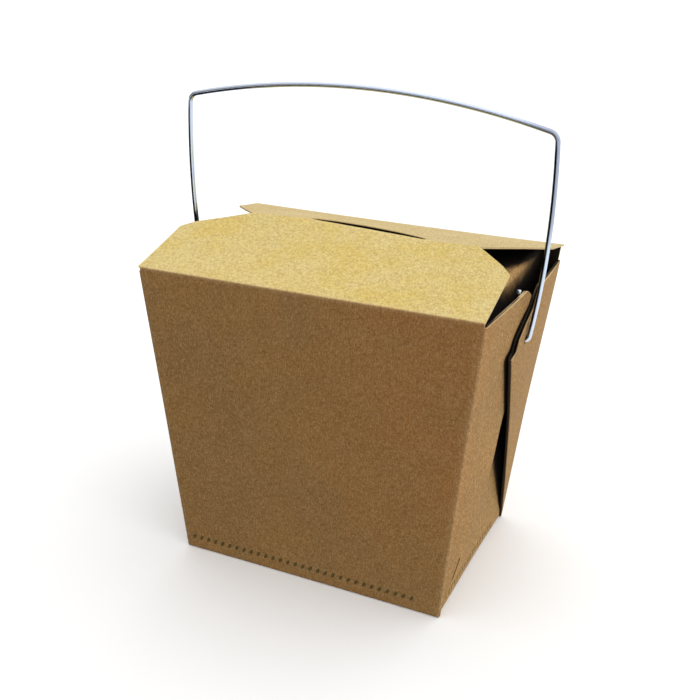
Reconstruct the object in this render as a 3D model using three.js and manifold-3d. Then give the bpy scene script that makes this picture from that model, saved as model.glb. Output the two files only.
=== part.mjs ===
// A shut noodle takeaway box: one folded blank of kraft board, wider at the top than at the base, with a
// wire carrying handle hooked through its sides. Units are millimetres, +Z is up, the front panel faces -Y,
// and the origin is the middle of the base. At each upright edge a web of doubled board is folded flat
// against the side. The two webs of a side overlap, stand a little proud of the side panel and leave a
// pocket that is open at the top. The front lid flap lies over the back one, and its tongue drops into a
// slot. What the shut lid hides is solid.

import * as THREE from 'three';
import { mergeVertices } from 'three/addons/utils/BufferGeometryUtils.js';
import Module from 'manifold-3d';

// The tapered box
const BASE_WIDTH = 90;
const BASE_DEPTH = 66;
const TOP_WIDTH = 111;
const TOP_DEPTH = 76;
const HEIGHT = 100;
const BOARD = 0.5;
const HINGE_RADIUS = 1.2;

// The lid: the front flap rises to a low ridge behind the middle, and the back flap rises to meet it there
const RIDGE_Y = 3.6;
const RIDGE_RISE = 7;
const LAP = 0.8 * BOARD;
const FRONT_FLAP_SIDE = { y: -11, leftX: 56.2, rightX: 53 };
const FRONT_FLAP_CORNER = { y: -6.5, leftX: 52.8, rightX: 49.3 };
const FRONT_FLAP_END_X = 38.4;
const BACK_FLAP_SIDE = { y: 24, x: 55.2 };
const BACK_FLAP_END_X = 37.8;
const TONGUE_HALF_WIDTH = 19.3;
const TONGUE_ROOT_FLARE = 6;
const TONGUE_END_Y = 8.9;
const TONGUE_DIP = 0.2;
const TONGUE_DROP = 2.5;
const SLOT_FRONT_Y = 7.4;
const SLOT_BACK_Y = 9.7;
const SLOT_HALF_LENGTH = 19.7;
const SLOT_LIP_RISE = 0.45;
const SLOT_LIP_DEPTH = 7;
const ROOF_HALF_WIDTH = 33;

// The side panel leans in from the webs, up to the rounded fold of its dust flap
const DUST_FOLD_Z = 98.5;
const DUST_FOLD_RADIUS = 2;
const DUST_FLAP_DROP = 1.5;
const POCKET_WIDTH = 6.3;

// The webs: the free edge is a crease that slants up from the base corner, with an edge above it that steps
// back. Each point of that upper edge is the distance past the middle of the side and the height
const WEB_THICKNESS = 2 * BOARD;
const CREASE_LEAN = 0.58;
const FRONT_WEB = {
  topZ: 99.2,
  edge: [[14.6, 82], [10, 88], [7.4, 92.3], [3.8, 95.4], [0.8, 97.3], [-1.8, 97.9]],
};
const BACK_WEB = {
  topZ: 95.2,
  edge: [[13.9, 80.4], [9.4, 81.2], [8.2, 84.5], [3, 88], [-2.6, 91], [-5.4, 95.4], [-8, 97]],
};
const WEB_INSET = 0.1;

// How far the webs of each side stand out: the back web lies over the front one, whose crease stands out
// most low down
const LEFT_WEBS = { over: 0.85, underLow: 1, underHigh: -0.8 };
const RIGHT_WEBS = { over: 2.8, underLow: 2.2, underHigh: 0.6 };
const OVER_REACH = 50;
const UNDER_REACH = 30;
const UNDER_LOW_Z = 40;
const UNDER_HIGH_Z = 60;

// The wire handle turns about the line through its two holes, and has slid a little along it
const WIRE_DIAMETER = 1.6;
const PIVOT_Z = 82;
const HOLE_RADIUS = 1.4;
const HANDLE_SLIDE = 1;
const LEG_FOOT_X = 56.5;
const LEG_BELLY_X = 61.2;
const LEG_TOP_X = 59.4;
const BAR_END_Z = 144.4;
const BAR_CROWN_Z = 151.8;
const HANDLE_CORNER_RADIUS = 3;
const HOOK_X = 50.65;
const HOOK_BEND_RADIUS = 1.6;
const HOOK_LENGTH = 14.5;
const HOOK_LEAN = THREE.MathUtils.degToRad(24);

const KRAFT = new THREE.MeshStandardMaterial({ color: 0xa98450, roughness: 0.85, metalness: 0 });
const STEEL = new THREE.MeshStandardMaterial({ color: 0xc4c9d4, roughness: 0.22, metalness: 1 });

const wasm = await Module();
wasm.setup();

const { lerp, smoothstep } = THREE.MathUtils;
const steps = (count) => Array.from({ length: count + 1 }, (_, i) => i / count);
const halfWidth = (z) => lerp(BASE_WIDTH, TOP_WIDTH, z / HEIGHT) / 2;
const halfDepth = (z) => lerp(BASE_DEPTH, TOP_DEPTH, z / HEIGHT) / 2;

// Turns a closed geometry into a solid that can be joined and cut
function solid(geometry) {
  const bare = geometry.clone();
  bare.deleteAttribute('normal');
  bare.deleteAttribute('uv');
  const merged = mergeVertices(bare, 1e-5);
  return new wasm.Manifold(new wasm.Mesh({
    numProp: 3,
    vertProperties: merged.getAttribute('position').array,
    triVerts: new Uint32Array(merged.getIndex().array),
  }));
}

function geometryOf(manifold) {
  const mesh = manifold.getMesh();
  const geometry = new THREE.BufferGeometry();
  geometry.setAttribute('position', new THREE.BufferAttribute(new Float32Array(mesh.vertProperties), 3));
  geometry.setIndex(new THREE.BufferAttribute(new Uint32Array(mesh.triVerts), 1));
  geometry.computeVertexNormals();
  return geometry;
}

function joined(solids) {
  return solids.reduce((whole, piece) => whole.add(piece));
}

// A closed sheet between two grids of points, outer and inner, each a list of rows
function sheet(outer, inner) {
  const across = outer[0].length;
  const up = outer.length;
  const positions = [...outer.flat(), ...inner.flat()].flatMap((point) => point.toArray());
  const at = (layer, row, column) => (layer * up + row) * across + column;
  const index = [];
  const quad = (a, b, c, d) => index.push(a, b, c, a, c, d);
  for (let row = 0; row + 1 < up; row += 1) {
    for (let column = 0; column + 1 < across; column += 1) {
      quad(at(0, row, column), at(0, row, column + 1), at(0, row + 1, column + 1), at(0, row + 1, column));
      quad(at(1, row, column), at(1, row + 1, column), at(1, row + 1, column + 1), at(1, row, column + 1));
    }
    quad(at(0, row, 0), at(0, row + 1, 0), at(1, row + 1, 0), at(1, row, 0));
    const last = across - 1;
    quad(at(0, row, last), at(1, row, last), at(1, row + 1, last), at(0, row + 1, last));
  }
  const top = up - 1;
  for (let column = 0; column + 1 < across; column += 1) {
    quad(at(0, 0, column), at(1, 0, column), at(1, 0, column + 1), at(0, 0, column + 1));
    quad(at(0, top, column), at(0, top, column + 1), at(1, top, column + 1), at(1, top, column));
  }
  const geometry = new THREE.BufferGeometry();
  geometry.setAttribute('position', new THREE.Float32BufferAttribute(positions, 3));
  geometry.setIndex(index);
  return solid(geometry);
}

// The points of a rounded corner at a vertex between two others
function roundedCorner(before, vertex, after, radius, count) {
  const toBefore = before.clone().sub(vertex).normalize();
  const toAfter = after.clone().sub(vertex).normalize();
  const half = toBefore.angleTo(toAfter) / 2;
  const toCentre = toBefore.clone().add(toAfter).normalize().multiplyScalar(radius / Math.sin(half));
  const centre = toCentre.add(vertex);
  const start = toBefore.clone().multiplyScalar(radius / Math.tan(half)).add(vertex).sub(centre);
  const axis = new THREE.Vector3().crossVectors(toAfter, toBefore).normalize();
  const sweep = Math.PI - 2 * half;
  return steps(count).map((t) => start.clone().applyAxisAngle(axis, t * sweep).add(centre));
}

// Moves a line of points in y and z to its left by a distance, with mitred corners
function offsetLine(points, distance) {
  return points.map((point, i) => {
    const ends = [[points[i - 1], point], [point, points[i + 1]]].filter(([from, to]) => from && to);
    const normals = ends.map(([from, to]) => new THREE.Vector3(0, from.z - to.z, to.y - from.y).normalize());
    const mitre = normals.reduce((sum, normal) => sum.clone().add(normal)).normalize();
    return mitre.multiplyScalar(distance / mitre.dot(normals[0])).add(point);
  });
}

// A panel and its flap, folded along lines across the box, for the front (-1) or back (+1). Each row of the
// profile holds the distance from the middle towards that end, the height, and the reach left and right
function foldedBoard(end, profile) {
  const line = profile.map(([out, z]) => new THREE.Vector3(0, out, z));
  const fold = roundedCorner(line[0], line[1], line[2], HINGE_RADIUS, 4);
  const outerLine = [line[0], ...fold, ...line.slice(2)];
  const rows = [profile[0], ...fold.map(() => profile[1]), ...profile.slice(2)];
  const innerLine = offsetLine(outerLine, BOARD);
  innerLine[0].z = 0;
  const gridOf = (points) => points.map((point, i) => {
    const [, , left, right] = rows[i];
    const across = end < 0 ? [-left, right] : [right, -left];
    return across.map((x) => new THREE.Vector3(x, end * point.y, point.z));
  });
  return sheet(gridOf(outerLine), gridOf(innerLine));
}

// How far the side panel lies inside the straight taper at a height
const sideInset = (z) => BOARD + POCKET_WIDTH * (z / DUST_FOLD_Z) ** 1.5;

// The side panel from the base up, its top fold and the dust flap that runs in under the lid, in x and z
function sideProfile() {
  const foldX = halfWidth(DUST_FOLD_Z) - sideInset(DUST_FOLD_Z);
  const arc = new THREE.Vector2(foldX - DUST_FOLD_RADIUS, DUST_FOLD_Z - DUST_FOLD_RADIUS);
  const panelPoints = steps(10).map((t) => {
    const z = t * arc.y;
    return new THREE.Vector2(halfWidth(z) - sideInset(z), z);
  });
  const foldPoints = steps(4).slice(1).map((t) => {
    const angle = t * Math.PI / 2;
    return new THREE.Vector2(Math.cos(angle), Math.sin(angle)).multiplyScalar(DUST_FOLD_RADIUS).add(arc);
  });
  const flapEnd = new THREE.Vector2(ROOF_HALF_WIDTH - 1, DUST_FOLD_Z - DUST_FLAP_DROP);
  return [...panelPoints, ...foldPoints, flapEnd];
}

// The closed body between the front and back panels, whose ends lie within those panels
function core() {
  const gridOf = (side) => sideProfile().map((point) => [-1, 1].map((end) => (
    new THREE.Vector3(side * point.x, end * (halfDepth(point.y) - BOARD / 2), point.y)
  )));
  return sheet(gridOf(1), gridOf(-1));
}

const frontLidZ = (y) => HEIGHT + RIDGE_RISE * (y + TOP_DEPTH / 2) / (RIDGE_Y + TOP_DEPTH / 2);
const backLidZ = (y) => HEIGHT + (RIDGE_RISE - LAP) * (TOP_DEPTH / 2 - y) / (TOP_DEPTH / 2 - RIDGE_Y);

// The front panel, its lid flap and the tongue that follows the back slope, dips into the slot and turns down
function frontBoard() {
  const flapRows = [FRONT_FLAP_SIDE, FRONT_FLAP_CORNER].map(({ y, leftX, rightX }) => (
    [-y, frontLidZ(y), leftX, rightX]
  ));
  const tongueRows = steps(4).map((t) => {
    const y = lerp(RIDGE_Y + 0.2, TONGUE_END_Y, t);
    const reach = TONGUE_HALF_WIDTH + TONGUE_ROOT_FLARE * (1 - t) ** 3;
    return [-y, backLidZ(y) + lerp(LAP, -TONGUE_DIP, t ** 2), reach, reach];
  });
  return foldedBoard(-1, [
    [BASE_DEPTH / 2, 0, BASE_WIDTH / 2, BASE_WIDTH / 2],
    [TOP_DEPTH / 2, HEIGHT, TOP_WIDTH / 2, TOP_WIDTH / 2],
    ...flapRows,
    [-RIDGE_Y, HEIGHT + RIDGE_RISE, FRONT_FLAP_END_X, FRONT_FLAP_END_X],
    ...tongueRows,
    [-TONGUE_END_Y - BOARD, backLidZ(TONGUE_END_Y) - TONGUE_DROP, TONGUE_HALF_WIDTH, TONGUE_HALF_WIDTH],
  ]);
}

// The back panel and its lid flap, which ends under the ridge
function backBoard() {
  const endY = RIDGE_Y - 0.3;
  return foldedBoard(1, [
    [BASE_DEPTH / 2, 0, BASE_WIDTH / 2, BASE_WIDTH / 2],
    [TOP_DEPTH / 2, HEIGHT, TOP_WIDTH / 2, TOP_WIDTH / 2],
    [BACK_FLAP_SIDE.y, backLidZ(BACK_FLAP_SIDE.y), BACK_FLAP_SIDE.x, BACK_FLAP_SIDE.x],
    [endY, backLidZ(endY), BACK_FLAP_END_X, BACK_FLAP_END_X],
  ]);
}

// The solid under the lid, whose top and ends lie within the boards
function roofBlock() {
  const bottom = DUST_FOLD_Z - 10;
  const under = 0.6 * BOARD;
  const bottomEnd = halfDepth(bottom) - under;
  const topEnd = TOP_DEPTH / 2 - HINGE_RADIUS;
  const outline = new THREE.Shape([
    new THREE.Vector2(-bottomEnd, bottom),
    new THREE.Vector2(bottomEnd, bottom),
    new THREE.Vector2(topEnd, backLidZ(topEnd) - under),
    new THREE.Vector2(RIDGE_Y, backLidZ(RIDGE_Y) - under),
    new THREE.Vector2(-topEnd, frontLidZ(-topEnd) - under),
  ]);
  const block = new THREE.ExtrudeGeometry(outline, { depth: 2 * ROOF_HALF_WIDTH, bevelEnabled: false });
  block.rotateX(Math.PI / 2);
  block.rotateZ(Math.PI / 2);
  block.translate(-ROOF_HALF_WIDTH, 0, 0);
  return solid(block);
}

// The board behind the slot, which the tongue under it pushes up into a low crest along the slot
function slotLip() {
  const cover = 0.2 * BOARD;
  const startY = SLOT_BACK_Y - 1;
  const outer = steps(5).map((t) => steps(12).map((s) => {
    const x = SLOT_HALF_LENGTH * (2 * s - 1);
    const y = startY + t * SLOT_LIP_DEPTH;
    const rise = (SLOT_LIP_RISE + cover) * (1 - (2 * s - 1) ** 2) * (1 - t) ** 2;
    return new THREE.Vector3(x, y, backLidZ(y) + rise - cover);
  }));
  const inner = outer.map((row) => row.map(({ x, y }) => new THREE.Vector3(x, y, backLidZ(y) - 3 * cover)));
  return sheet(outer, inner);
}

// The slot that takes the tongue
function slot() {
  const depth = 2 * TONGUE_DROP + 2;
  const opening = new THREE.BoxGeometry(2 * SLOT_HALF_LENGTH, SLOT_BACK_Y - SLOT_FRONT_Y, depth);
  opening.translate(0, (SLOT_FRONT_Y + SLOT_BACK_Y) / 2, backLidZ(SLOT_BACK_Y));
  return solid(opening);
}

// The web on one side (-1 or +1 in x) that starts at the front (-1) or back (+1) upright edge
function web(side, end) {
  const { topZ, edge } = end < 0 ? FRONT_WEB : BACK_WEB;
  const { over, underLow, underHigh } = side < 0 ? LEFT_WEBS : RIGHT_WEBS;
  const creaseRows = steps(8).slice(0, -1).map((t) => {
    const z = t * edge[0][1];
    return [CREASE_LEAN * z - BASE_DEPTH / 2, z];
  });
  const columns = side * end < 0 ? steps(10) : steps(10).reverse();
  const standOut = (reach, z) => {
    const under = lerp(underLow, underHigh, smoothstep(z, UNDER_LOW_Z, UNDER_HIGH_Z));
    const [most, across] = end > 0 ? [over, OVER_REACH] : [under, UNDER_REACH];
    return most * Math.sin(Math.min(1, reach / across) * Math.PI / 2);
  };
  const outer = [...creaseRows, ...edge].map(([past, freeZ]) => {
    const edgeZ = freeZ * topZ / edge.at(-1)[1];
    const edgeY = halfDepth(edgeZ) - 0.6 * BOARD;
    const freeY = Math.min(edgeY - WEB_THICKNESS, -past);
    return columns.map((s) => {
      const y = lerp(edgeY, freeY, s);
      const z = lerp(edgeZ, freeZ, s);
      return new THREE.Vector3(side * (halfWidth(z) - WEB_INSET + standOut(edgeY - y, z)), end * y, z);
    });
  });
  const through = new THREE.Vector3(-side * WEB_THICKNESS, 0, 0);
  const inner = outer.map((row) => row.map((point) => point.clone().add(through)));
  return sheet(outer, inner);
}

// A drill through both webs of a side that stops short of the side panel
function handleHole(side) {
  const innerX = HOOK_X - 1.2;
  const length = 10;
  const drill = new THREE.CylinderGeometry(HOLE_RADIUS, HOLE_RADIUS, length, 20);
  drill.rotateZ(Math.PI / 2);
  drill.translate(side * (innerX + length / 2), 0, PIVOT_Z);
  return solid(drill);
}

function carton() {
  const slotted = joined([core(), roofBlock(), backBoard(), slotLip()]).subtract(slot());
  const webs = [-1, 1].flatMap((side) => [web(side, -1), web(side, 1)]);
  const holes = joined([handleHole(-1), handleHole(1)]);
  return geometryOf(joined([slotted, frontBoard(), ...webs]).subtract(holes));
}

// A path that an extrusion follows through exactly the points given
class PointPath extends THREE.Curve {
  constructor(points) {
    super();
    this.points = points;
  }

  getPoint(t, target = new THREE.Vector3()) {
    const place = t * (this.points.length - 1);
    const low = Math.min(Math.floor(place + 1e-9), this.points.length - 2);
    return target.lerpVectors(this.points[low], this.points[low + 1], place - low);
  }

  getPointAt(u, target) {
    return this.getPoint(u, target);
  }

  getTangentAt(u, target = new THREE.Vector3()) {
    const last = this.points.length - 1;
    const place = Math.round(u * last);
    const before = this.points[Math.max(0, place - 1)];
    const after = this.points[Math.min(last, place + 1)];
    return target.subVectors(after, before).normalize();
  }
}

// The right half of the wire, from the hook's tip to the crown of the bar
function handleHalf() {
  const through = new THREE.Vector3(HOOK_X, 0, PIVOT_Z);
  const foot = new THREE.Vector3(LEG_FOOT_X, 0, PIVOT_Z);
  const hookWay = new THREE.Vector3(0, Math.sin(HOOK_LEAN), Math.cos(HOOK_LEAN));
  const tip = hookWay.multiplyScalar(HOOK_LENGTH).add(through);
  const legEnd = new THREE.Vector3(LEG_TOP_X, 0, BAR_END_Z);
  const legBelly = new THREE.Vector3(LEG_BELLY_X, 0, (PIVOT_Z + BAR_END_Z) / 2);
  const leg = new THREE.QuadraticBezierCurve3(foot, legBelly, legEnd);
  const legPoints = steps(12).map((t) => leg.getPoint(t));
  const bar = steps(12).map((t) => {
    const x = lerp(LEG_TOP_X, 0, t);
    return new THREE.Vector3(x, 0, lerp(BAR_CROWN_Z, BAR_END_Z, (x / LEG_TOP_X) ** 2));
  });
  return [
    tip,
    ...roundedCorner(tip, through, foot, HOOK_BEND_RADIUS, 5),
    ...roundedCorner(through, foot, legPoints[1], HOOK_BEND_RADIUS, 5),
    ...legPoints.slice(1, -1),
    ...roundedCorner(legPoints.at(-2), legEnd, bar[1], HANDLE_CORNER_RADIUS, 5),
    ...bar.slice(1),
  ];
}

function wireHandle() {
  const right = handleHalf();
  const left = right.slice(0, -1).reverse().map((p) => new THREE.Vector3(-p.x, p.y, p.z));
  const path = new PointPath([...right, ...left]);
  const section = new THREE.Shape(steps(10).slice(0, -1).map((t) => new THREE.Vector2(
    (WIRE_DIAMETER / 2) * Math.cos(2 * Math.PI * t),
    (WIRE_DIAMETER / 2) * Math.sin(2 * Math.PI * t),
  )));
  const tube = new THREE.ExtrudeGeometry(section, {
    steps: path.points.length - 1,
    extrudePath: path,
    bevelEnabled: false,
  });
  tube.translate(HANDLE_SLIDE, 0, 0);
  return geometryOf(solid(tube));
}

function namedMesh(name, geometry, material) {
  const mesh = new THREE.Mesh(geometry, material);
  mesh.name = name;
  return mesh;
}

const noodleBox = new THREE.Group();
noodleBox.add(namedMesh('carton', carton(), KRAFT));
noodleBox.add(namedMesh('wire_handle', wireHandle(), STEEL));

export default noodleBox;
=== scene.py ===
import math

import bmesh
import bpy
from mathutils import Matrix, Vector, noise
from mathutils.bvhtree import BVHTree


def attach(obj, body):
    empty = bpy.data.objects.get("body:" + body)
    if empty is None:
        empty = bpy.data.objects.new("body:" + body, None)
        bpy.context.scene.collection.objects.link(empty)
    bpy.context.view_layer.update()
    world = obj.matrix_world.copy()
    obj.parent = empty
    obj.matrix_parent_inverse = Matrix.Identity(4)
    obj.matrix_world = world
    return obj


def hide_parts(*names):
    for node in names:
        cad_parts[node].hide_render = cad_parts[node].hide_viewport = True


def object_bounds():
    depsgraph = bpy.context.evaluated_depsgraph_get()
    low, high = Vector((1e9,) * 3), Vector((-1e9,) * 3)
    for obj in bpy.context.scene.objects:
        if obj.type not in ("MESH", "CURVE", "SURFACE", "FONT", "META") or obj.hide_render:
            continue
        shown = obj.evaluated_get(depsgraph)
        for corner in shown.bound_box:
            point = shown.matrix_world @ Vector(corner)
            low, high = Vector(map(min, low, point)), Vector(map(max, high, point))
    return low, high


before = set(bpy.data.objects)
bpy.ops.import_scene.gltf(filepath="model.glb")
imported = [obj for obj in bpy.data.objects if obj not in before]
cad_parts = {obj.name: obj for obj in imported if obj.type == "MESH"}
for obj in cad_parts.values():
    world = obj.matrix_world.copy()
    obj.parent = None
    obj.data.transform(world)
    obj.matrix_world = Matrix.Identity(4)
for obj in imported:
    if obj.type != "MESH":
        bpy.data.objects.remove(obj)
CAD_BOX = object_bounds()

MM = 0.001

# The view, in millimetres and pixels
EYE = Vector((134.27, -304.93, 209.71))
RIGHT = Vector((0.9101, 0.4140, 0.0203))
UP = Vector((-0.1794, 0.3493, 0.9197))
BACK = Vector((0.3736, -0.8406, 0.3922))
FOCAL_PIXELS = 1117.7
FRAME_PIXELS = 700
SENSOR_WIDTH = 36

# The tapered box, in millimetres as all sizes below
BASE_WIDTH = 90
BASE_DEPTH = 66
TOP_WIDTH = 111
TOP_DEPTH = 76
HEIGHT = 100
BOARD = 0.5
HINGE_RADIUS = 0.6
HINGE_HALF_TURN = math.radians(42)
CORNER_RADIUS = 0.8
BOTTOM_RADIUS = 0.4

# The lid: each flap's corners as y, reach to the left and reach to the right
RIDGE_Y = 3.6
RIDGE_RISE = 7
LAP = 0.4
FRONT_FLAP = ((-11, 57, 53), (-6.5, 53.6, 49.3), (RIDGE_Y, 38.4, 38.4))
FRONT_FOLD_RIGHT = 54.7
BACK_FLAP = ((24, 55.2, 55.2), (RIDGE_Y - 0.3, 37.8, 37.8))
TONGUE_ROOT = 25.3
TONGUE_HALF_WIDTH = 19.3
TONGUE_END_Y = 8.9
TONGUE_DIP = 0.35
TONGUE_DROP = 2.5
SLOT_FRONT_Y = 7.4
SLOT_BACK_Y = 9.7
SLOT_MARGIN = 0.4
SLOT_HALF_LENGTH = 19.7
SLOT_LIP_RISE = 0.8
SLOT_LIP_DEPTH = 7

# The side panels and their dust flaps
SIDE_START_Z = 0.6
SIDE_CLEARANCE = 0.1
DUST_FOLD_Z = 98.5
DUST_FOLD_RADIUS = 2
DUST_FOLD_TURN = math.radians(86)
DUST_FLAP_END = (20, 96.3)
POCKET_WIDTH = 6.3
POCKET_POWER = 0.75

# The webs: how far the free edge lies past the middle of the side at each height
FRONT_WEB = {
    "top": 98.9,
    "edge": ((14.6, 82), (10, 88), (7.4, 92.3), (3.8, 95.4), (0.8, 97.3), (-1.8, 97.9)),
}
BACK_WEB = {
    "top": 95.2,
    "edge": ((13.9, 80.4), (9.4, 81.2), (8.2, 84.5), (3, 88), (-2.6, 91), (-5.4, 95.4), (-8, 97)),
}
LAYER_STEP = 0.55
WEB_LEAST_WIDTH = 0.3

# How far each web stands out from its side, and over which reach that grows
LEFT_STAND = {"over": 0.85, "under_low": 1, "under_high": -0.8}
RIGHT_STAND = {"over": 2.8, "under_low": 2.2, "under_high": 0.6}
OVER_REACH = 50
UNDER_REACH = 30
UNDER_Z = (40, 60)

# How the inner layers of the webs splay at the free edge, and where that starts and is full
FRONT_SPLAY = 0.15
BACK_SPLAY = 0.5
SPLAY_Z = (70, 84)
SPLAY_SHARE = (0.75, 1)

# The grids' rows and columns: a pair is for the columns on each side of the tongue or slot and at it
BASE_MARGIN = 1.5
BASE_ROWS = 6
CORNER_STEPS = 4
FOLD_STEPS = 6
WEB_LOW_ROWS = [0.1, 0.4]
FINE_ROWS_Z = 76
FINE_ROWS = 50
FLAP_ROW_STEP = 1.6
TONGUE_ROWS = 10
DUST_FLAP_ROWS = 12
FRONT_COLUMNS = (12, 24)
BACK_COLUMNS = (24, 24)
WEB_COLUMNS = 44
WEB_CROWDING = 1.5
SIDE_ROWS = 96
SIDE_COLUMNS = 70
SLACK = 0.01

# How the lid's front fold sags at its left end and rises at its right end
LEFT_SAG = 1.15
RIGHT_RISE = 0.5
SAG_OUT = (2, TOP_DEPTH / 2)

# How the back right corner is pulled out and up
CORNER_PULL = 1.05
PULL_Z = (40, 95)
PULL_Y = (-8, 26)
CORNER_RISE = 1.3
PANEL_RISE_Y = (-4, 24)
LID_RISE_OUT = (-6, TOP_DEPTH / 2)
LID_START_Z = (98.6, 100.4)
RISE_Z = (45, 100)

# How the lid swells at the left end of the slot and dips at its right end
LEFT_SWELL = 1.1
RIGHT_SWELL = -0.5
SWELL_OUT = (2, 24)
SWELL_ASIDE = (SLOT_HALF_LENGTH + 2, TOP_WIDTH / 2)
SWELL_Z = (99, 102)

# How far the front right corner of the base stands out to the side and to the front
BASE_PULL = (0.8, 1.2)
BASE_PULL_Z = (0, 60)
BASE_PULL_OUT = (-10, BASE_DEPTH / 2)

# The board's slight waves, as waves per millimetre and height, and where they start and are full
WAVES = ((0.035, 0.22), (0.11, 0.05))
WAVES_OFF_FOLD = (1, 12)
WAVES_Z = (0.5, 8)

# Where a fold is rubbed pale, and where the lid's lighter colour starts, which is partly painted light
# from above
WEAR_OFF_FOLD = (0.1, 1.3)
LID_COLOUR_Z = (HEIGHT - 0.3, HEIGHT + 0.1)

# How far off a board still casts painted shade on a point, and the ways from each point in which that is
# looked for
HOLLOW_REACH = 11
HOLLOW_WAYS = 90
HOLLOW_START = 0.12
HOLLOW_LEAST_FACING = 0.2

# The least painted shade on the inner layers of the back webs, which lie on the front webs
COVERED = 0.6

# Low at the front the hollows are open to the light, so most of their painted shade goes
OPEN_Z = (22, 34)
OPEN_Y = (-22, -12)
OPEN_SHARE = 0.8

# A printed row of small leaves low on the front and on the right side
PRINT_Z = 4.4
PRINT_SPAN = (-42.5, 38)
PRINT_FACE_Y = -32.9
SIDE_PRINT_Z = 2.7
SIDE_PRINT_SPAN = (-27, 22)
SIDE_PRINT_FACE_X = 43.5
LEAF_STEP = 2.7
LEAF_SLANT = 0.4
LEAF_HALF_WIDTH = 0.6
LEAF_HALF_HEIGHT = 0.95
LEAF_EDGE = (0.8, 1.1)

# The board's ground colours as screen values, each a pair that clouds of pulp mix; the lid's tones are
# lighter and yellower than the upright ones, partly as painted light from above
FRONT_LID_TONES = ((212, 191, 123), (209, 183, 92))
BACK_LID_TONES = ((199, 179, 130), (192, 170, 118))
UPRIGHT_TONES = ((172, 133, 77), (164, 131, 80))

# The colours of its marks: in a pair the first is for the upright panels and the second for the lid,
# which is lighter partly as painted light
PALE_TONES = ((192, 156, 104), (222, 204, 152))
DARK_FIBRE_TONES = ((136, 96, 54), (178, 148, 82))
LIGHT_FIBRE_TONES = ((210, 172, 116), (236, 217, 160))
WARM_TONE = (190, 128, 66)
SPECK_TONE = (104, 70, 40)
WORN_TONE = (222, 198, 150)
CUT_TONE = (226, 200, 150)
INK_TONE = (66, 74, 42)
# Painted shade: the near black that hollows and covered layers darken to
PAINTED_SHADE_TONE = (14, 8, 6)
# Extra painted shade on the boards' inner faces
INSIDE_PAINTED_SHADE = 0.45

# The warm tone grows to the right and upwards, and behind the front it fades to this share
WARM_X = (-20, 50)
WARM_Z = (0, 90)
WARM_Y = (-34, -29)
WARM_BEHIND = 0.1

# The fineness of the board's and the wire's marks, in marks per metre
PATCH_SCALE = 17
CLOUD_SCALE = 48
PALE_SCALE = 150
FIBRE_SCALES = (800, 950)
SPECK_SCALE = 1500
DRAWN_SCALE = 2600

# How high the fibres stand
FIBRE_RELIEF = 0.12

# The wire handle
WIRE_RADIUS = 0.77
WIRE_SIDES = 20
TIP_BEVEL = 0.15
TIP_SHARE = 0.8
PIVOT_Z = 82
HOLE_RADIUS = 1.4
HANDLE_SLIDE = 1
LEG_FOOT_X = 56.15
LEG_BELLY_X = 61.2
LEG_TOP_X = 59.4
BAR_END_Z = 144.4
BAR_CROWN_Z = 151.8
HANDLE_CORNER_RADIUS = 3
HOOK_X = 50.65
HOOK_BEND_RADIUS = 1.6
HOOK_LENGTH = 14.5
HOOK_LEAN = math.radians(24)
HOOK_STEPS = 14
LEG_STEPS = 24
BAR_STEPS = 36
BEND_STEPS = 10

# The wire's colours as linear values: its drawn marks, its upper right part, darker as a painted duller
# reflection, and its painted dark parts, painted shade and painted dark reflection
DRAWN_TONES = ((0.58, 0.665, 0.79, 1), (0.66, 0.75, 0.88, 1))
UPPER_TONE = (0.34, 0.385, 0.5, 1)
UPPER_Z = (108, 122)
UPPER_X = (45, 58)
PAINTED_DARK_TONE = (0.01, 0.009, 0.012, 1)

# The side of the wire's legs with a painted dark reflection: how far round it goes, its paler rim and its
# ends
DARK_WAY = Vector((-0.91, -0.414, 0))
DARK_TURN = (0.06, 0.26)
DARK_RIM_TURN = (0.85, 0.97)
DARK_RIM_LOSS = 0.6
DARK_START_Z = (PIVOT_Z + 0.5, PIVOT_Z + 2)
DARK_END_Z = (BAR_END_Z - 4, BAR_END_Z - 1.5)
DARK_LEAST_X = HOOK_X + 3

# Painted shade on the hooks in their pockets, apart from the tips
DARK_PAST_TIP = (1.1, 1.7)
DARK_POCKET_X = (HOOK_X + 1, HOOK_X + 2.5)

# The stage in metres: the reach of the floor, its walls, and a dark card given as two corners
STAGE_REACH = 6
WALL_HEIGHT = 9
FLOOR_Z = -0.0002
CARD_Z = -0.0001
CARD = ((-0.9, -0.7), (0.03, 0.05))

# The light: where it is brightest, and its colours as linear values
BRIGHT_WAY = Vector((0.45, 0.24, 0.86)).normalized()
BRIGHT_SPAN = (-0.5, 0.75)
LOW_LIGHT = (0.104, 0.059, 0.045, 1)
HIGH_LIGHT = (1.38, 1.38, 1.38, 1)


def lerp(start, end, share):
    return start + (end - start) * share


def steps(count):
    return [i / count for i in range(count + 1)]


def smooth(value, low, high):
    share = min(1, max(0, (value - low) / (high - low)))
    return share * share * (3 - 2 * share)


def half_width(z):
    return lerp(BASE_WIDTH, TOP_WIDTH, z / HEIGHT) / 2


def half_depth(z):
    return lerp(BASE_DEPTH, TOP_DEPTH, z / HEIGHT) / 2


def front_lid_z(y):
    return HEIGHT + RIDGE_RISE * (y + TOP_DEPTH / 2) / (RIDGE_Y + TOP_DEPTH / 2)


def back_lid_z(y):
    return HEIGHT + (RIDGE_RISE - LAP) * (TOP_DEPTH / 2 - y) / (TOP_DEPTH / 2 - RIDGE_Y)


def rounded_corner(before, vertex, after, radius, count):
    """The points of an arc that rounds the corner at a vertex."""
    to_before = (before - vertex).normalized()
    to_after = (after - vertex).normalized()
    half = to_before.angle(to_after) / 2
    centre = vertex + (to_before + to_after).normalized() * (radius / math.sin(half))
    start = vertex + to_before * (radius / math.tan(half)) - centre
    axis = to_after.cross(to_before).normalized()
    sweep = math.pi - 2 * half
    return [centre + Matrix.Rotation(t * sweep, 3, axis) @ start for t in steps(count)]


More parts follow.
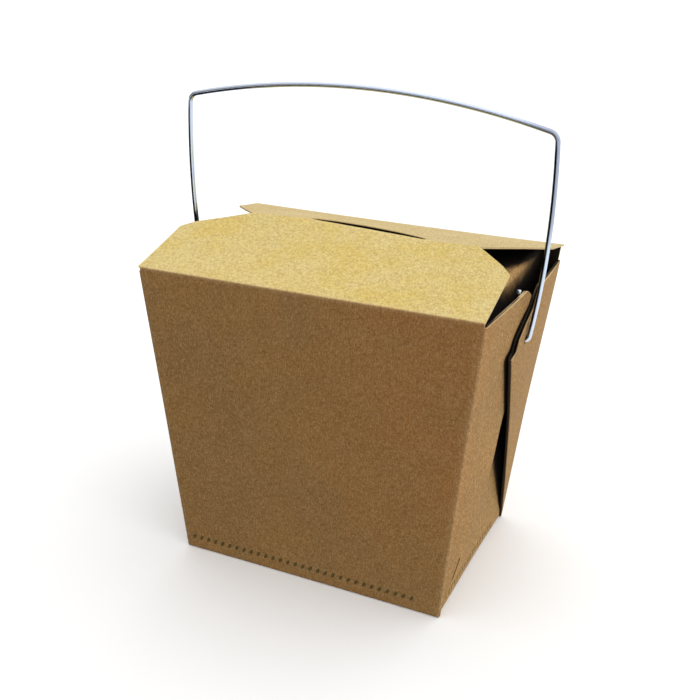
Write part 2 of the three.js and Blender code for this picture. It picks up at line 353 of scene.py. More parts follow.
class Nodes:
    """A short way to write a node tree: most calls add a node and give its output socket."""

    def __init__(self, tree):
        self.tree = tree
        self.tree.nodes.clear()

    def add(self, kind, inputs=(), output=0, **settings):
        node = self.tree.nodes.new(kind)
        for name, value in settings.items():
            setattr(node, name, value)
        for key, value in dict(inputs).items():
            self.feed(node, key, value)
        return node.outputs[output] if len(node.outputs) else None

    def feed(self, node, key, value):
        socket = node.inputs[key]
        if isinstance(value, bpy.types.NodeSocket):
            self.tree.links.new(value, socket)
        else:
            socket.default_value = value

    def noise(self, vector, scale, detail=2.0, roughness=0.5):
        return self.add("ShaderNodeTexNoise", {
            "Vector": vector, "Scale": scale, "Detail": detail, "Roughness": roughness})

    def mapped(self, vector, scale=(1, 1, 1), turn=(0, 0, 0)):
        return self.add("ShaderNodeMapping", {"Vector": vector, "Scale": scale, "Rotation": turn})

    def stored(self, name):
        """The number that a mesh stores at its points under this name."""
        return self.add("ShaderNodeAttribute", output="Fac", attribute_name=name)

    def part(self, vector, axis):
        """One number of a vector: axis 0 is x, 1 is y and 2 is z."""
        return self.add("ShaderNodeSeparateXYZ", {0: vector}, output=axis)

    def ramp(self, factor, low, high, start=0.0, end=1.0):
        """Maps a number from low..high to start..end, smoothly and without going past them."""
        return self.add("ShaderNodeMapRange", {
            "Value": factor, "From Min": low, "From Max": high, "To Min": start, "To Max": end},
            interpolation_type="SMOOTHSTEP")

    def span(self, place, axis, ends, start=0.0, end=1.0):
        """A ramp along one axis of the object, between two places in millimetres."""
        return self.ramp(self.part(place, axis), ends[0] * MM, ends[1] * MM, start, end)

    def math(self, operation, first, second=0.0):
        return self.add("ShaderNodeMath", {0: first, 1: second}, operation=operation)

    def product(self, first, second):
        return self.math("MULTIPLY", first, second)

    def blend(self, factor, first, second):
        return self.add("ShaderNodeMix", {
            "Factor": factor, 6: first, 7: second}, output=2, data_type="RGBA")

    def surface(self, **inputs):
        """Ends the tree in a plain surface shader; an underscore in a name stands for a space."""
        shader = self.add("ShaderNodeBsdfPrincipled", {
            name.replace("_", " "): value for name, value in inputs.items()})
        self.add("ShaderNodeOutputMaterial", {"Surface": shader})


def linear(tone):
    """A colour given as 0 to 255 screen values, as the linear values that a shader takes."""
    def channel(value):
        share = value / 255
        return share / 12.92 if share <= 0.04045 else ((share + 0.055) / 1.055) ** 2.4
    return (*map(channel, tone), 1.0)


def material(name):
    made = bpy.data.materials.new(name)
    made.use_nodes = True
    return made, Nodes(made.node_tree)


def added(name, data):
    """A new object of the scene, made of a mesh or a camera's data."""
    made = bpy.data.objects.new(name, data)
    bpy.context.scene.collection.objects.link(made)
    return made


def printed_row(nodes, place):
    """A plain row of small slanted leaves low on the front and on the right side."""
    def squared(value):
        return nodes.math("POWER", nodes.math("ABSOLUTE", value), 2.0)

    x, y, z = (nodes.part(place, axis) for axis in range(3))
    front = nodes.math("LESS_THAN", y, PRINT_FACE_Y * MM)
    right = nodes.math("GREATER_THAN", x, SIDE_PRINT_FACE_X * MM)
    faces = ((x, PRINT_SPAN, PRINT_Z, front), (y, SIDE_PRINT_SPAN, SIDE_PRINT_Z, right))
    rows = []
    for along, (first, last), height, face in faces:
        up = nodes.math("SUBTRACT", z, height * MM)
        slanted = nodes.math("SUBTRACT", along, nodes.product(up, LEAF_SLANT))
        tall = squared(nodes.math("DIVIDE", up, LEAF_HALF_HEIGHT * MM))
        cell = nodes.math("FRACT", nodes.math("DIVIDE", slanted, LEAF_STEP * MM))
        off = nodes.product(nodes.math("SUBTRACT", cell, 0.5), LEAF_STEP / LEAF_HALF_WIDTH)
        leaf = nodes.ramp(nodes.math("ADD", squared(off), tall), *LEAF_EDGE, 1.0, 0.0)
        started = nodes.math("GREATER_THAN", slanted, first * MM)
        ended = nodes.math("LESS_THAN", slanted, last * MM)
        rows.append(nodes.product(nodes.product(leaf, nodes.product(started, ended)), face))
    return nodes.math("MAXIMUM", *rows)


def kraft(name, lid_tones, tint=None, extra_shade=0.0):
    """Kraft board: clouds of pulp, fine fibres and specks, lighter worn folds, a lid painted partly
    lighter as light from above, and painted shade in hollows and on inner faces.
    """
    made, nodes = material(name)
    place = nodes.add("ShaderNodeTexCoord", output="Object")
    lid = nodes.stored("lid")
    clouds = nodes.ramp(nodes.noise(place, CLOUD_SCALE, 5, 0.62), 0.38, 0.64)
    patches = nodes.ramp(nodes.noise(place, PATCH_SCALE, 3, 0.5), 0.4, 0.62, 0.45, 1.0)
    warmth = nodes.product(nodes.span(place, 0, WARM_X), nodes.span(place, 2, WARM_Z))
    warmth = nodes.product(nodes.product(warmth, patches), nodes.span(place, 1, WARM_Y, 1.0, WARM_BEHIND))
    upright = nodes.blend(clouds, *map(linear, UPRIGHT_TONES))
    upright = nodes.blend(warmth, upright, linear(WARM_TONE))
    # The lid is lighter and yellower than the uprights, partly painted light from above
    base = nodes.blend(lid, upright, nodes.blend(clouds, *map(linear, lid_tones)))

    pale = nodes.ramp(nodes.noise(place, PALE_SCALE, 4, 0.65), 0.48, 0.75, 0.0, 0.3)
    base = nodes.blend(pale, base, nodes.blend(lid, *map(linear, PALE_TONES)))
    fibre_a = nodes.noise(nodes.mapped(place, (1, 1, 2.6), (0.5, 0.9, 0.3)), FIBRE_SCALES[0], 4, 0.75)
    fibre_b = nodes.noise(nodes.mapped(place, (2.6, 1, 1), (0.2, 0.4, 0.8)), FIBRE_SCALES[1], 4, 0.75)
    dark = nodes.blend(lid, *map(linear, DARK_FIBRE_TONES))
    light = nodes.blend(lid, *map(linear, LIGHT_FIBRE_TONES))
    base = nodes.blend(nodes.ramp(fibre_a, 0.43, 0.6, 0.0, 0.62), base, dark)
    base = nodes.blend(nodes.ramp(fibre_b, 0.47, 0.62, 0.0, 0.6), base, light)
    specks = nodes.ramp(nodes.noise(place, SPECK_SCALE, 2, 0.5), 0.66, 0.72, 0.0, 0.5)
    base = nodes.blend(specks, base, linear(SPECK_TONE))
    rubbed = nodes.product(nodes.stored("wear"), nodes.ramp(fibre_b, 0.3, 0.7, 0.1, 0.4))
    base = nodes.blend(rubbed, base, linear(WORN_TONE))
    if tint:
        base = nodes.blend(0.5, base, tint)

    ink = nodes.product(printed_row(nodes, place), nodes.ramp(fibre_a, 0.35, 0.6, 0.9, 0.7))
    base = nodes.blend(ink, base, linear(INK_TONE))
    # Painted shade: hollows, covered layers and inner faces darken towards a near black
    painted_shade = nodes.math("ADD", nodes.stored("painted_shade"), extra_shade)
    base = nodes.blend(nodes.ramp(painted_shade, 0.22, 0.66, 0.0, 0.98), base, linear(PAINTED_SHADE_TONE))
    bump = nodes.add("ShaderNodeBump", {
        "Height": nodes.math("ADD", fibre_a, fibre_b), "Strength": 0.35, "Distance": FIBRE_RELIEF * MM})
    nodes.surface(Base_Color=base, Roughness=nodes.ramp(fibre_b, 0.3, 0.7, 0.72, 0.9),
                  Normal=bump, Specular_IOR_Level=0.3)
    return made


def steel():
    """Bright drawn wire with faint marks along it, a painted duller reflection on its upper right part,
    and painted dark reflection and shade where marked.
    """
    made, nodes = material("steel_wire")
    place = nodes.add("ShaderNodeTexCoord", output="Object")
    drawn = nodes.noise(nodes.mapped(place, (1, 1, 0.06)), DRAWN_SCALE, 3, 0.6)
    tone = nodes.blend(nodes.ramp(drawn, 0.3, 0.7), *DRAWN_TONES)
    # A painted duller reflection on the upper right of the wire
    upper_right = nodes.product(nodes.span(place, 2, UPPER_Z), nodes.span(place, 0, UPPER_X, 0.15, 0.95))
    tone = nodes.blend(upper_right, tone, UPPER_TONE)
    # Painted dark reflection on one side of the legs and painted shade on the hooks in their pockets
    tone = nodes.blend(nodes.product(nodes.stored("painted_dark"), 0.97), tone, PAINTED_DARK_TONE)
    nodes.surface(Base_Color=tone, Roughness=nodes.ramp(drawn, 0.3, 0.7, 0.12, 0.24), Metallic=1.0)
    return made


def line_distance(point, start, end):
    along = end - start
    share = min(1, max(0, (point - start).dot(along) / along.length_squared))
    return (point - start - along * share).length


def fold_lines():
    """The box's four upright folds and its two lid folds."""
    lines = []
    for side in (-1, 1):
        for end in (-1, 1):
            lines.append((Vector((side * BASE_WIDTH / 2, end * BASE_DEPTH / 2, 0)),
                          Vector((side * TOP_WIDTH / 2, end * TOP_DEPTH / 2, HEIGHT))))
    for end in (-1, 1):
        lines.append((Vector((-TOP_WIDTH / 2, end * TOP_DEPTH / 2, HEIGHT)),
                      Vector((TOP_WIDTH / 2, end * TOP_DEPTH / 2, HEIGHT))))
    return lines


FOLDS = fold_lines()


def warped(point):
    """Where a point of the carton comes to lie, as folding by hand leaves the box out of true."""
    across = point.x / TOP_WIDTH + 0.5
    front = lerp(-LEFT_SAG, RIGHT_RISE, across) * smooth(-point.y, *SAG_OUT)
    on_lid = smooth(point.z, *LID_START_Z)
    to_back = lerp(smooth(point.y, *PANEL_RISE_Y), 1 - smooth(-point.y, *LID_RISE_OUT), on_lid)
    rise = (front + CORNER_RISE * across * across * to_back) * smooth(point.z, *RISE_Z)
    pull = CORNER_PULL * across * across * smooth(point.z, *PULL_Z) * smooth(point.y, *PULL_Y)
    along = min(1, max(0, point.x / (2 * SLOT_HALF_LENGTH) + 0.5))
    near_slot = 1 - smooth(abs(point.y - SLOT_BACK_Y), *SWELL_OUT)
    near_middle = 1 - smooth(abs(point.x), *SWELL_ASIDE)
    swell = lerp(LEFT_SWELL, RIGHT_SWELL, along) * near_slot * near_middle * smooth(point.z, *SWELL_Z)
    base = across * across * (1 - smooth(point.z, *BASE_PULL_Z)) * smooth(-point.y, *BASE_PULL_OUT)
    moved = point + Vector((pull + BASE_PULL[0] * base, -BASE_PULL[1] * base, rise + swell))
    moved.y = min(CAD_BOX[1][1] / MM, max(CAD_BOX[0][1] / MM, moved.y))
    return moved


class Board:
    """A folded board: grids of points on its outer face, joined where they meet and given a thickness."""

    def __init__(self, name):
        self.name = name
        self.mesh = bmesh.new()
        self.wear = self.mesh.verts.layers.float.new("wear")
        self.lid = self.mesh.verts.layers.float.new("lid")
        # buried: a least share of painted shade at a point, for layers that lie under others
        self.buried = self.mesh.verts.layers.float.new("buried")

    def grid(self, rows, flip=False, skip=None, buried=0.0, buried_start=1.0):
        """Adds faces between rows of points, apart from those that skip names by row and column."""
        made = [[self.mesh.verts.new(point) for point in row] for row in rows]
        for row in made:
            row[0][self.buried] = min(buried, buried_start)
            for vertex in row[1:]:
                vertex[self.buried] = buried
        for i in range(len(made) - 1):
            for j in range(len(made[i]) - 1):
                if skip and skip(i, j):
                    continue
                corners = [made[i][j], made[i][j + 1], made[i + 1][j + 1], made[i + 1][j]]
                self.mesh.faces.new(reversed(corners) if flip else corners)

    def build(self, looks, holes=()):
        """Makes the object, with looks for its outer face, its cut edge and its inner face."""
        bm = self.mesh
        bmesh.ops.delete(bm, geom=[v for v in bm.verts if not v.link_faces], context="VERTS")
        bmesh.ops.remove_doubles(bm, verts=bm.verts, dist=SLACK)
        bm.normal_update()
        for vertex in bm.verts:
            nearest = min(line_distance(vertex.co, *line) for line in FOLDS)
            vertex[self.wear] = 1 - smooth(nearest, *WEAR_OFF_FOLD)
            vertex[self.lid] = smooth(vertex.co.z, *LID_COLOUR_Z)
            loose = smooth(nearest, *WAVES_OFF_FOLD) * smooth(vertex.co.z, *WAVES_Z)
            wave = sum(noise.noise(vertex.co * per_mm) * height for per_mm, height in WAVES)
            vertex.co = warped(vertex.co + vertex.normal * wave * loose)
        bmesh.ops.scale(bm, vec=(MM, MM, MM), verts=bm.verts)
        mesh = bpy.data.meshes.new(self.name)
        bm.to_mesh(mesh)
        bm.free()
        for look in looks:
            mesh.materials.append(look)
        board = added(self.name, mesh)
        thick = board.modifiers.new("thickness", "SOLIDIFY")
        thick.thickness = BOARD * MM
        thick.offset = -1
        thick.use_rim = True
        thick.material_offset_rim = 1
        thick.material_offset = 2
        for hole in holes:
            cut = board.modifiers.new("hole", "BOOLEAN")
            cut.object = hole
            cut.operation = "DIFFERENCE"
            cut.solver = "EXACT"
        apply_modifiers(board)
        board.data.set_sharp_from_angle(angle=math.radians(35))
        return board


def apply_modifiers(made):
    graph = bpy.context.evaluated_depsgraph_get()
    graph.update()
    finished = bpy.data.meshes.new_from_object(made.evaluated_get(graph), depsgraph=graph)
    finished.shade_smooth()
    old = made.data
    made.modifiers.clear()
    made.data = finished
    finished.name = made.name
    bpy.data.meshes.remove(old)


def columns(left, right, middle, outer_count, middle_count):
    """Places across a board from -left to right, with a middle part of a set width."""
    outer = [lerp(-left, -middle, t) for t in steps(outer_count)]
    inside = [lerp(-middle, middle, t) for t in steps(middle_count)][1:-1]
    return outer + inside + [lerp(middle, right, t) for t in steps(outer_count)]


def panel_heights():
    """The rows of the upright panels: coarse low down, and fine where the webs' edges are cut."""
    top = HEIGHT - HINGE_RADIUS * math.tan(HINGE_HALF_TURN)
    return [*range(1, FINE_ROWS_Z), *(lerp(FINE_ROWS_Z, top, t) for t in steps(FINE_ROWS))]


def board_profile(flap):
    """Rows of the base and panel, the lid fold and the flap, each as out, z, left and right."""
    inner_y = flap[-1][0]
    in_front = inner_y == RIDGE_Y

    def lid_row_z(out):
        return front_lid_z(-out) if in_front else back_lid_z(out)

    bottom = [Vector((0, 0, 0)), Vector((0, BASE_DEPTH / 2, 0)), Vector((0, TOP_DEPTH / 2, HEIGHT))]
    places = [(t * (BASE_DEPTH / 2 - BASE_MARGIN), 0) for t in steps(BASE_ROWS)]
    places += [(p.y, p.z) for p in rounded_corner(*bottom, BOTTOM_RADIUS, CORNER_STEPS)]
    places += [(half_depth(z), z) for z in panel_heights()]
    panel_rows = []
    for out, z in places:
        narrow = half_width(z) - CORNER_RADIUS
        panel_rows.append((out, z, narrow, narrow))

    out_end = -inner_y if in_front else inner_y
    lid_end = Vector((0, out_end, lid_row_z(out_end)))
    hinge = rounded_corner(bottom[1], bottom[2], lid_end, HINGE_RADIUS, FOLD_STEPS)
    left_reach = TOP_WIDTH / 2
    right_reach = FRONT_FOLD_RIGHT if in_front else left_reach
    fold_rows = []
    for t, p in zip(steps(FOLD_STEPS), hinge):
        share = smooth(t, 0, 0.8)
        fold_rows.append((p.y, p.z, lerp(narrow, left_reach, share), lerp(narrow, right_reach, share)))

    start = (fold_rows[-1][0], left_reach, right_reach)
    flap_rows = []
    for y, flap_left, flap_right in flap:
        end = (-y if in_front else y, flap_left, flap_right)
        count = max(2, round(abs(start[0] - end[0]) / FLAP_ROW_STEP))
        for t in steps(count)[1:]:
            out, left, right = (lerp(a, b, t) for a, b in zip(start, end))
            flap_rows.append((out, lid_row_z(out), left, right))
        start = end
    return panel_rows, fold_rows[1:], flap_rows


# Places across a web, closer together towards its free edge
WEB_SHARES = [1 - (1 - t) ** WEB_CROWDING for t in steps(WEB_COLUMNS)[1:]]


def past_middle(web, z):
    """How far the free edge of a web lies past the middle of its side, at a height."""
    first = web["edge"][0]
    if z <= first[1]:
        return lerp(-BASE_DEPTH / 2, first[0], z / first[1])
    for (past_a, z_a), (past_b, z_b) in zip(web["edge"], web["edge"][1:]):
        if z <= z_b:
            return lerp(past_a, past_b, (z - z_a) / (z_b - z_a))
    return web["edge"][-1][0]


def stand_out(end, stand, reach, z):
    """How far a web stands out from the side, at a reach from its upright fold and a height."""
    under = lerp(stand["under_low"], stand["under_high"], smooth(z, *UNDER_Z))
    most, across = (stand["over"], OVER_REACH) if end > 0 else (under, UNDER_REACH)
    return most * math.sin(min(1, max(0, reach) / across) * math.pi / 2)


def add_web(board, side, end):
    """The doubled web at an upright edge: its outer layer runs on from the panel round the corner."""
    web = FRONT_WEB if end < 0 else BACK_WEB
    stand = LEFT_STAND if side < 0 else RIGHT_STAND
    slope = web["edge"][-1][1] / web["top"]
    crease_top = web["edge"][0][1]
    heights = WEB_LOW_ROWS + [z for z in panel_heights() if z <= web["top"] + SLACK]
    outer, bend, inner = [], [], []
    for z in heights:
        free_z = z * slope
        start = half_depth(z) - CORNER_RADIUS
        free = min(start - WEB_LEAST_WIDTH, -past_middle(web, free_z) + LAYER_STEP)
        arc = []
        for t in steps(CORNER_STEPS):
            angle = t * math.pi / 2
            out = start + CORNER_RADIUS * math.cos(angle)
            x = half_width(z) - CORNER_RADIUS + CORNER_RADIUS * math.sin(angle)
            arc.append(Vector((side * x, end * out, z)))
        flat = []
        for s in WEB_SHARES:
            out = lerp(start, free, s)
            at_z = lerp(z, free_z, s)
            x = half_width(at_z) + stand_out(end, stand, start - out, at_z)
            flat.append(Vector((side * x, end * out, at_z)))
        outer.append(arc + flat)
        row_bend = []
        for t in steps(CORNER_STEPS):
            x = -LAYER_STEP + LAYER_STEP * math.cos(t * math.pi)
            out = -LAYER_STEP * math.sin(t * math.pi)
            row_bend.append(flat[-1] + Vector((side * x, end * out, 0)))
        bend.append(row_bend)
        splay = BACK_SPLAY * smooth(free_z, *SPLAY_Z) if end > 0 else FRONT_SPLAY
        back = []
        for s, point in zip(WEB_SHARES, flat):
            away = 2 * LAYER_STEP + (splay * smooth(s, *SPLAY_SHARE) if free_z > crease_top else 0)
            back.append(point - Vector((side * away, 0, 0)))
        inner.append(list(reversed(back)))
    creased = [i for i, z in enumerate(heights) if z * slope <= crease_top + SLACK]
    turned = side * end > 0
    board.grid(outer, flip=turned)
    # The back web's inner layers get a least share of painted shade
    under = COVERED if end > 0 else 0.0
    board.grid([bend[i] for i in creased], flip=turned, buried=under, buried_start=0.0)
    board.grid(inner, flip=turned, buried=under)


def front_board(looks, holes):
    """The base's front half, the front panel, its lid flap with the tongue, and its two webs."""
    board = Board("front_board")
    panel, fold, flap = board_profile(FRONT_FLAP)
    board.grid([[Vector((x, -out, z)) for x in columns(left, right, TONGUE_ROOT, *FRONT_COLUMNS)]
                for out, z, left, right in panel + fold + flap])
    tongue = []
    for t in steps(TONGUE_ROWS):
        y = lerp(RIDGE_Y, TONGUE_END_Y, t)
        reach = lerp(TONGUE_HALF_WIDTH, TONGUE_ROOT, (1 - t) ** 3)
        z = back_lid_z(y) + lerp(LAP, -TONGUE_DIP, t ** 2)
        tongue.append((y, z, reach))
    last_z = tongue[-1][1]
    for t in steps(CORNER_STEPS)[1:]:
        y = TONGUE_END_Y + BOARD * math.sin(t * math.pi / 2)
        z = last_z - TONGUE_DROP * (1 - math.cos(t * math.pi / 2))
        tongue.append((y, z, TONGUE_HALF_WIDTH))
    board.grid([[Vector((lerp(-reach, reach, s), y, z)) for s in steps(FRONT_COLUMNS[1])]
                for y, z, reach in tongue])
    for side in (-1, 1):
        add_web(board, side, -1)
    return board.build(looks, holes)


def back_board(looks, holes):
    """The base's back half, the back panel, its lid flap with the slot, and its two webs."""
    board = Board("back_board")
    panel, fold, flap = board_profile(BACK_FLAP)
    before = [row for row in flap if row[0] > SLOT_BACK_Y + SLOT_MARGIN]
    after = [row for row in flap if row[0] < SLOT_FRONT_Y - SLOT_MARGIN]
    (outer_y, outer_reach, _), (inner_y, inner_reach, _) = BACK_FLAP

    def slot_edge(y):
        reach = lerp(inner_reach, outer_reach, (y - inner_y) / (outer_y - inner_y))
        return (y, back_lid_z(y), reach, reach)

    flap_start = len(panel + fold)
    slot_row = flap_start + len(before)
    rows = []
    sequence = panel + fold + before + [slot_edge(SLOT_BACK_Y), slot_edge(SLOT_FRONT_Y)] + after
    for i, (out, z, left, right) in enumerate(sequence):
        behind = (out - SLOT_BACK_Y) / SLOT_LIP_DEPTH
        on_lip = flap_start < i <= slot_row and behind < 1
        row = []
        for x in columns(left, right, SLOT_HALF_LENGTH, *BACK_COLUMNS):
            across = max(0, 1 - (x / SLOT_HALF_LENGTH) ** 2) ** 0.7
            lift = SLOT_LIP_RISE * across * (1 - behind) ** 2 if on_lip else 0
            row.append(Vector((x, out, z + lift)))
        rows.append(row)
    slot_columns = range(BACK_COLUMNS[0], sum(BACK_COLUMNS))
    board.grid(rows, flip=True, skip=lambda i, j: i == slot_row and j in slot_columns)
    for side in (-1, 1):
        add_web(board, side, 1)
    return board.build(looks, holes)


def side_board(side, looks):
    """A side panel that leans in from the webs, with its rounded top fold and dust flap."""
    def panel_x(z):
        return half_width(z) - BOARD - POCKET_WIDTH * (z / DUST_FOLD_Z) ** POCKET_POWER

    centre_x = panel_x(DUST_FOLD_Z) - DUST_FOLD_RADIUS
    centre_z = DUST_FOLD_Z - DUST_FOLD_RADIUS
    profile = [(panel_x(z), z) for z in (lerp(SIDE_START_Z, centre_z, t) for t in steps(SIDE_ROWS))]
    for t in steps(FOLD_STEPS)[1:]:
        angle = t * DUST_FOLD_TURN
        profile.append((centre_x + DUST_FOLD_RADIUS * math.cos(angle),
                        centre_z + DUST_FOLD_RADIUS * math.sin(angle)))
    fold_x, fold_z = profile[-1]
    for t in steps(DUST_FLAP_ROWS)[1:]:
        profile.append((lerp(fold_x, DUST_FLAP_END[0], t), lerp(fold_z, DUST_FLAP_END[1], t)))
    rows = []
    for x, z in profile:
        reach = half_depth(min(z, DUST_FOLD_Z)) - BOARD - SIDE_CLEARANCE
        rows.append([Vector((side * x, lerp(-reach, reach, s), z)) for s in steps(SIDE_COLUMNS)])
    board = Board("left_side_board" if side < 0 else "right_side_board")
    board.grid(rows, flip=side < 0)
    return board.build(looks)


def hole_cutter():
    """A rod through both holes of the handle, which cuts them in the webs."""
    mesh = bpy.data.meshes.new("hole_cutter")
    bm = bmesh.new()
    turn = Matrix.Translation((0, 0, PIVOT_Z * MM)) @ Matrix.Rotation(math.pi / 2, 4, "Y")
    bmesh.ops.create_cone(bm, cap_ends=True, segments=24, radius1=HOLE_RADIUS * MM,
                          radius2=HOLE_RADIUS * MM, depth=2.4 * LEG_FOOT_X * MM, matrix=turn)
    bm.to_mesh(mesh)
    bm.free()
    return added("hole_cutter", mesh)


def wire_half():
    """The right half of the wire's centre line, from the hook's tip to the crown of the bar."""
    through = Vector((HOOK_X, 0, PIVOT_Z))
    foot = Vector((LEG_FOOT_X, 0, PIVOT_Z))
    tip = through + Vector((0, math.sin(HOOK_LEAN), math.cos(HOOK_LEAN))) * HOOK_LENGTH
    leg_end = Vector((LEG_TOP_X, 0, BAR_END_Z))
    belly = Vector((LEG_BELLY_X, 0, (PIVOT_Z + BAR_END_Z) / 2))
    leg = [foot * (1 - t) ** 2 + belly * 2 * t * (1 - t) + leg_end * t ** 2 for t in steps(LEG_STEPS)]
    bar = []
    for t in steps(BAR_STEPS):
        x = lerp(LEG_TOP_X, 0, t)
        bar.append(Vector((x, 0, lerp(BAR_CROWN_Z, BAR_END_Z, (x / LEG_TOP_X) ** 2))))
    hook = [lerp(tip, through, 0.5 * t) for t in steps(HOOK_STEPS)]
    return [*hook, *rounded_corner(tip, through, foot, HOOK_BEND_RADIUS, BEND_STEPS),
            *rounded_corner(through, foot, leg[2], HOOK_BEND_RADIUS, BEND_STEPS),
            *leg[2:-2],
            *rounded_corner(leg[-2], leg_end, bar[2], HANDLE_CORNER_RADIUS, BEND_STEPS),
            *bar[3:]]


def painted_darkness(place, normal, tips):
    """How much painted darkness the wire gets: a painted dark reflection on one side of the legs, and
    painted shade past the tips in the pockets.
    """
    aside = abs(place.x - HANDLE_SLIDE)
    on_leg = smooth(place.z, *DARK_START_Z) * (1 - smooth(place.z, *DARK_END_Z)) * (aside > DARK_LEAST_X)
    turned = normal.dot(DARK_WAY)
    shade = smooth(turned, *DARK_TURN) * (1 - DARK_RIM_LOSS * smooth(turned, *DARK_RIM_TURN)) * on_leg
    past_tip = min((place - tip).length for tip in tips)
    in_pocket = (1 - smooth(aside, *DARK_POCKET_X)) * (place.z < HEIGHT)
    return max(smooth(past_tip, *DARK_PAST_TIP) * in_pocket, shade)


def wire_handle(look):
    """The wire as a fine round tube, with slightly rounded cut ends."""
    right = wire_half()
    left = [Vector((-p.x, p.y, p.z)) for p in reversed(right[:-1])]
    path = [p + Vector((HANDLE_SLIDE, 0, 0)) for p in right + left]
    mesh = bpy.data.meshes.new("steel_handle")
    bm = bmesh.new()
    painted_dark = bm.verts.layers.float.new("painted_dark")

    def ring(centre, way, radius):
        first = way.cross(Vector((0, 1, 0))).normalized()
        second = way.cross(first).normalized()
        turns = [2 * math.pi * i / WIRE_SIDES for i in range(WIRE_SIDES)]
        return [bm.verts.new((centre + (first * math.cos(turn) + second * math.sin(turn)) * radius) * MM)
                for turn in turns]

    rings = []
    for i, point in enumerate(path):
        way = (path[min(i + 1, len(path) - 1)] - path[max(i - 1, 0)]).normalized()
        if i in (0, len(path) - 1):
            inward = way if i == 0 else -way
            ends = [ring(point, way, WIRE_RADIUS * TIP_SHARE),
                    ring(point + inward * TIP_BEVEL, way, WIRE_RADIUS)]
            rings += ends if i == 0 else reversed(ends)
        else:
            rings.append(ring(point, way, WIRE_RADIUS))
    for first, second in zip(rings, rings[1:]):
        for i in range(WIRE_SIDES):
            j = (i + 1) % WIRE_SIDES
            bm.faces.new((first[i], first[j], second[j], second[i]))
    bm.faces.new(reversed(rings[0]))
    bm.faces.new(rings[-1])
    bmesh.ops.recalc_face_normals(bm, faces=bm.faces)
    bm.normal_update()
    for vertex in bm.verts:
        # Painted dark reflection and painted shade, stored at each point
        vertex[painted_dark] = painted_darkness(vertex.co / MM, vertex.normal, (path[0], path[-1]))
    bm.to_mesh(mesh)
    bm.free()
    mesh.shade_smooth()
    mesh.set_sharp_from_angle(angle=math.radians(50))
    mesh.materials.append(look)
    return added("steel_handle", mesh)


def camera():
    data = bpy.data.cameras.new("view_camera")
    data.sensor_width = SENSOR_WIDTH
    data.lens = SENSOR_WIDTH * FOCAL_PIXELS / FRAME_PIXELS
    data.clip_start = 0.01
    data.clip_end = 50
    view = added("view_camera", data)
    turn = Matrix((RIGHT.normalized(), UP.normalized(), BACK.normalized())).transposed().to_4x4()
    view.matrix_world = Matrix.Translation(EYE * MM) @ turn
    bpy.context.scene.camera = view


def level_sheet(name, low, high, z, look):
    """A level rectangle of the stage between two corners, in metres."""
    mesh = bpy.data.meshes.new(name)
    points = [(low[0], low[1], 0), (high[0], low[1], 0), (high[0], high[1], 0), (low[0], high[1], 0)]
    mesh.from_pydata(points, [], [(0, 1, 2, 3)])
    mesh.materials.append(look)
    sheet = added(name, mesh)
    sheet.location.z = z
    return sheet


def backdrop():
    """White walls round the floor, which only the camera sees."""
    mesh = bpy.data.meshes.new("backdrop")
    corners = [(-STAGE_REACH, -STAGE_REACH), (STAGE_REACH, -STAGE_REACH),
               (STAGE_REACH, STAGE_REACH), (-STAGE_REACH, STAGE_REACH)]
    points = [(x, y, z) for z in (FLOOR_Z, WALL_HEIGHT) for x, y in corners]
    mesh.from_pydata(points, [], [(i, (i + 1) % 4, (i + 1) % 4 + 4, i + 4) for i in range(4)])
    walls = added("backdrop", mesh)
    white, nodes = material("white_wall")
    glow = nodes.add("ShaderNodeEmission", {"Color": (1, 1, 1, 1), "Strength": 1.0})
    nodes.add("ShaderNodeOutputMaterial", {"Surface": glow})
    mesh.materials.append(white)
    walls.visible_diffuse = False
    walls.visible_glossy = False
    walls.visible_shadow = False


def dark_card():
    """A dark card on the floor at the left, which only shows as a dark line in the bright wire."""
    black, nodes = material("black_card")
    nodes.surface(Base_Color=(0.004, 0.004, 0.005, 1), Roughness=1.0, Specular_IOR_Level=0.0)
    card = level_sheet("dark_card", *CARD, CARD_Z, black)
    card.visible_camera = False
    card.visible_diffuse = False
    card.visible_shadow = False


def studio():
    """A pale floor, and soft light that is brightest from above, behind and the right."""
    scene = bpy.context.scene
    scene.view_settings.view_transform = "Standard"
    world = bpy.data.worlds.new("soft_light")
    world.use_nodes = True
    scene.world = world
    nodes = Nodes(world.node_tree)
    way = nodes.add("ShaderNodeTexCoord", output="Generated")
    toward = nodes.add("ShaderNodeVectorMath", {0: way, 1: BRIGHT_WAY}, output="Value",
                       operation="DOT_PRODUCT")
    sky = nodes.blend(nodes.ramp(toward, *BRIGHT_SPAN), LOW_LIGHT, HIGH_LIGHT)
    light = nodes.add("ShaderNodeBackground", {"Color": sky, "Strength": 1.0})
    nodes.add("ShaderNodeOutputWorld", {"Surface": light})

    pale, nodes = material("pale_floor")
    nodes.surface(Base_Color=(0.99, 1.0, 1.0, 1), Roughness=0.9, Specular_IOR_Level=0.1)
    floor = level_sheet("floor", (-STAGE_REACH, -STAGE_REACH), (STAGE_REACH, STAGE_REACH), FLOOR_Z, pale)
    floor.visible_diffuse = False
    backdrop()
    dark_card()


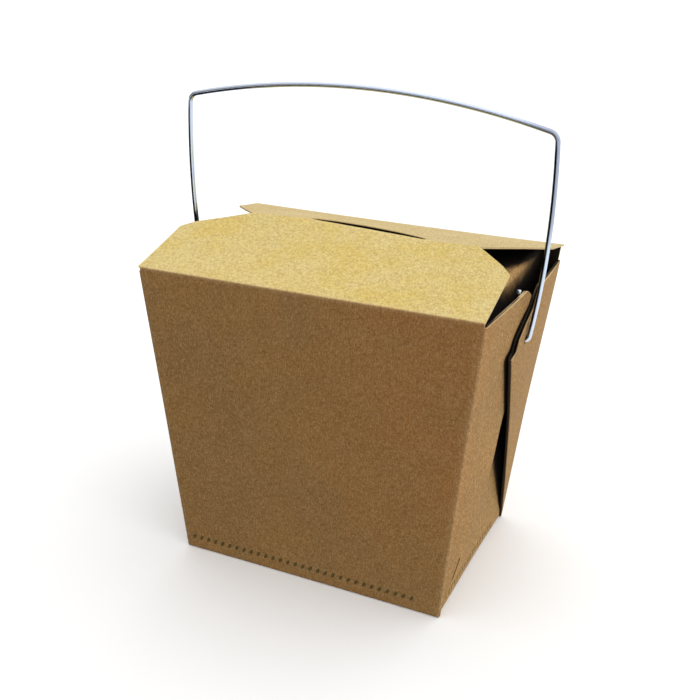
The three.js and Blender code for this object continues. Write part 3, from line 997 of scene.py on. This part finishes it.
def sphere_ways(count):
    """Ways spread evenly over a sphere."""
    turn = math.pi * (3 - math.sqrt(5))
    ways = []
    for i in range(count):
        z = 1 - (2 * i + 1) / count
        flat = math.sqrt(1 - z * z)
        ways.append(Vector((flat * math.cos(i * turn), flat * math.sin(i * turn), z)))
    return ways


def paint_hollow_shade(boards):
    """Stores at each point how much of what it faces is board close by, as painted shade that darkens
    hollows.
    """
    points, faces = [], []
    for board in boards:
        first = len(points)
        points += [vertex.co.copy() for vertex in board.data.vertices]
        faces += [[first + i for i in polygon.vertices] for polygon in board.data.polygons]
    tree = BVHTree.FromPolygons(points, faces)
    ways = sphere_ways(HOLLOW_WAYS)
    for board in boards:
        values = []
        buried = board.data.attributes["buried"].data
        for vertex in board.data.vertices:
            start = vertex.co + vertex.normal * HOLLOW_START * MM
            faced = [(way, way.dot(vertex.normal)) for way in ways]
            faced = [(way, weight) for way, weight in faced if weight > HOLLOW_LEAST_FACING]
            met = sum(weight for way, weight in faced
                      if tree.ray_cast(start, way, HOLLOW_REACH * MM)[0] is not None)
            share = max(met / sum(weight for _, weight in faced), buried[vertex.index].value)
            low = 1 - smooth(vertex.co.z / MM, *OPEN_Z)
            front = 1 - smooth(vertex.co.y / MM, *OPEN_Y)
            values.append(share * (1 - OPEN_SHARE * low * front))
        board.data.attributes.new("painted_shade", "FLOAT", "POINT").data.foreach_set("value", values)


def carton():
    """The four boards of the folded blank, with the looks of their faces and cut edges."""
    cut = linear(CUT_TONE)
    # The inner faces get extra painted shade
    inside = kraft("kraft_inside", BACK_LID_TONES, extra_shade=INSIDE_PAINTED_SHADE)
    front_looks = [kraft("kraft_front", FRONT_LID_TONES),
                   kraft("kraft_front_edge", FRONT_LID_TONES, cut), inside]
    back_looks = [kraft("kraft_back", BACK_LID_TONES),
                  kraft("kraft_back_edge", BACK_LID_TONES, cut), inside]
    cutter = hole_cutter()
    boards = [front_board(front_looks, [cutter]), back_board(back_looks, [cutter]),
              side_board(-1, back_looks), side_board(1, back_looks)]
    bpy.data.objects.remove(cutter)
    # Bakes painted shade into the boards' hollows
    paint_hollow_shade(boards)
    for board in boards:
        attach(board, "carton")
        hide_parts("carton")


camera()
carton()
handle = wire_handle(steel())
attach(handle, "handle")
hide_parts("wire_handle")
studio()
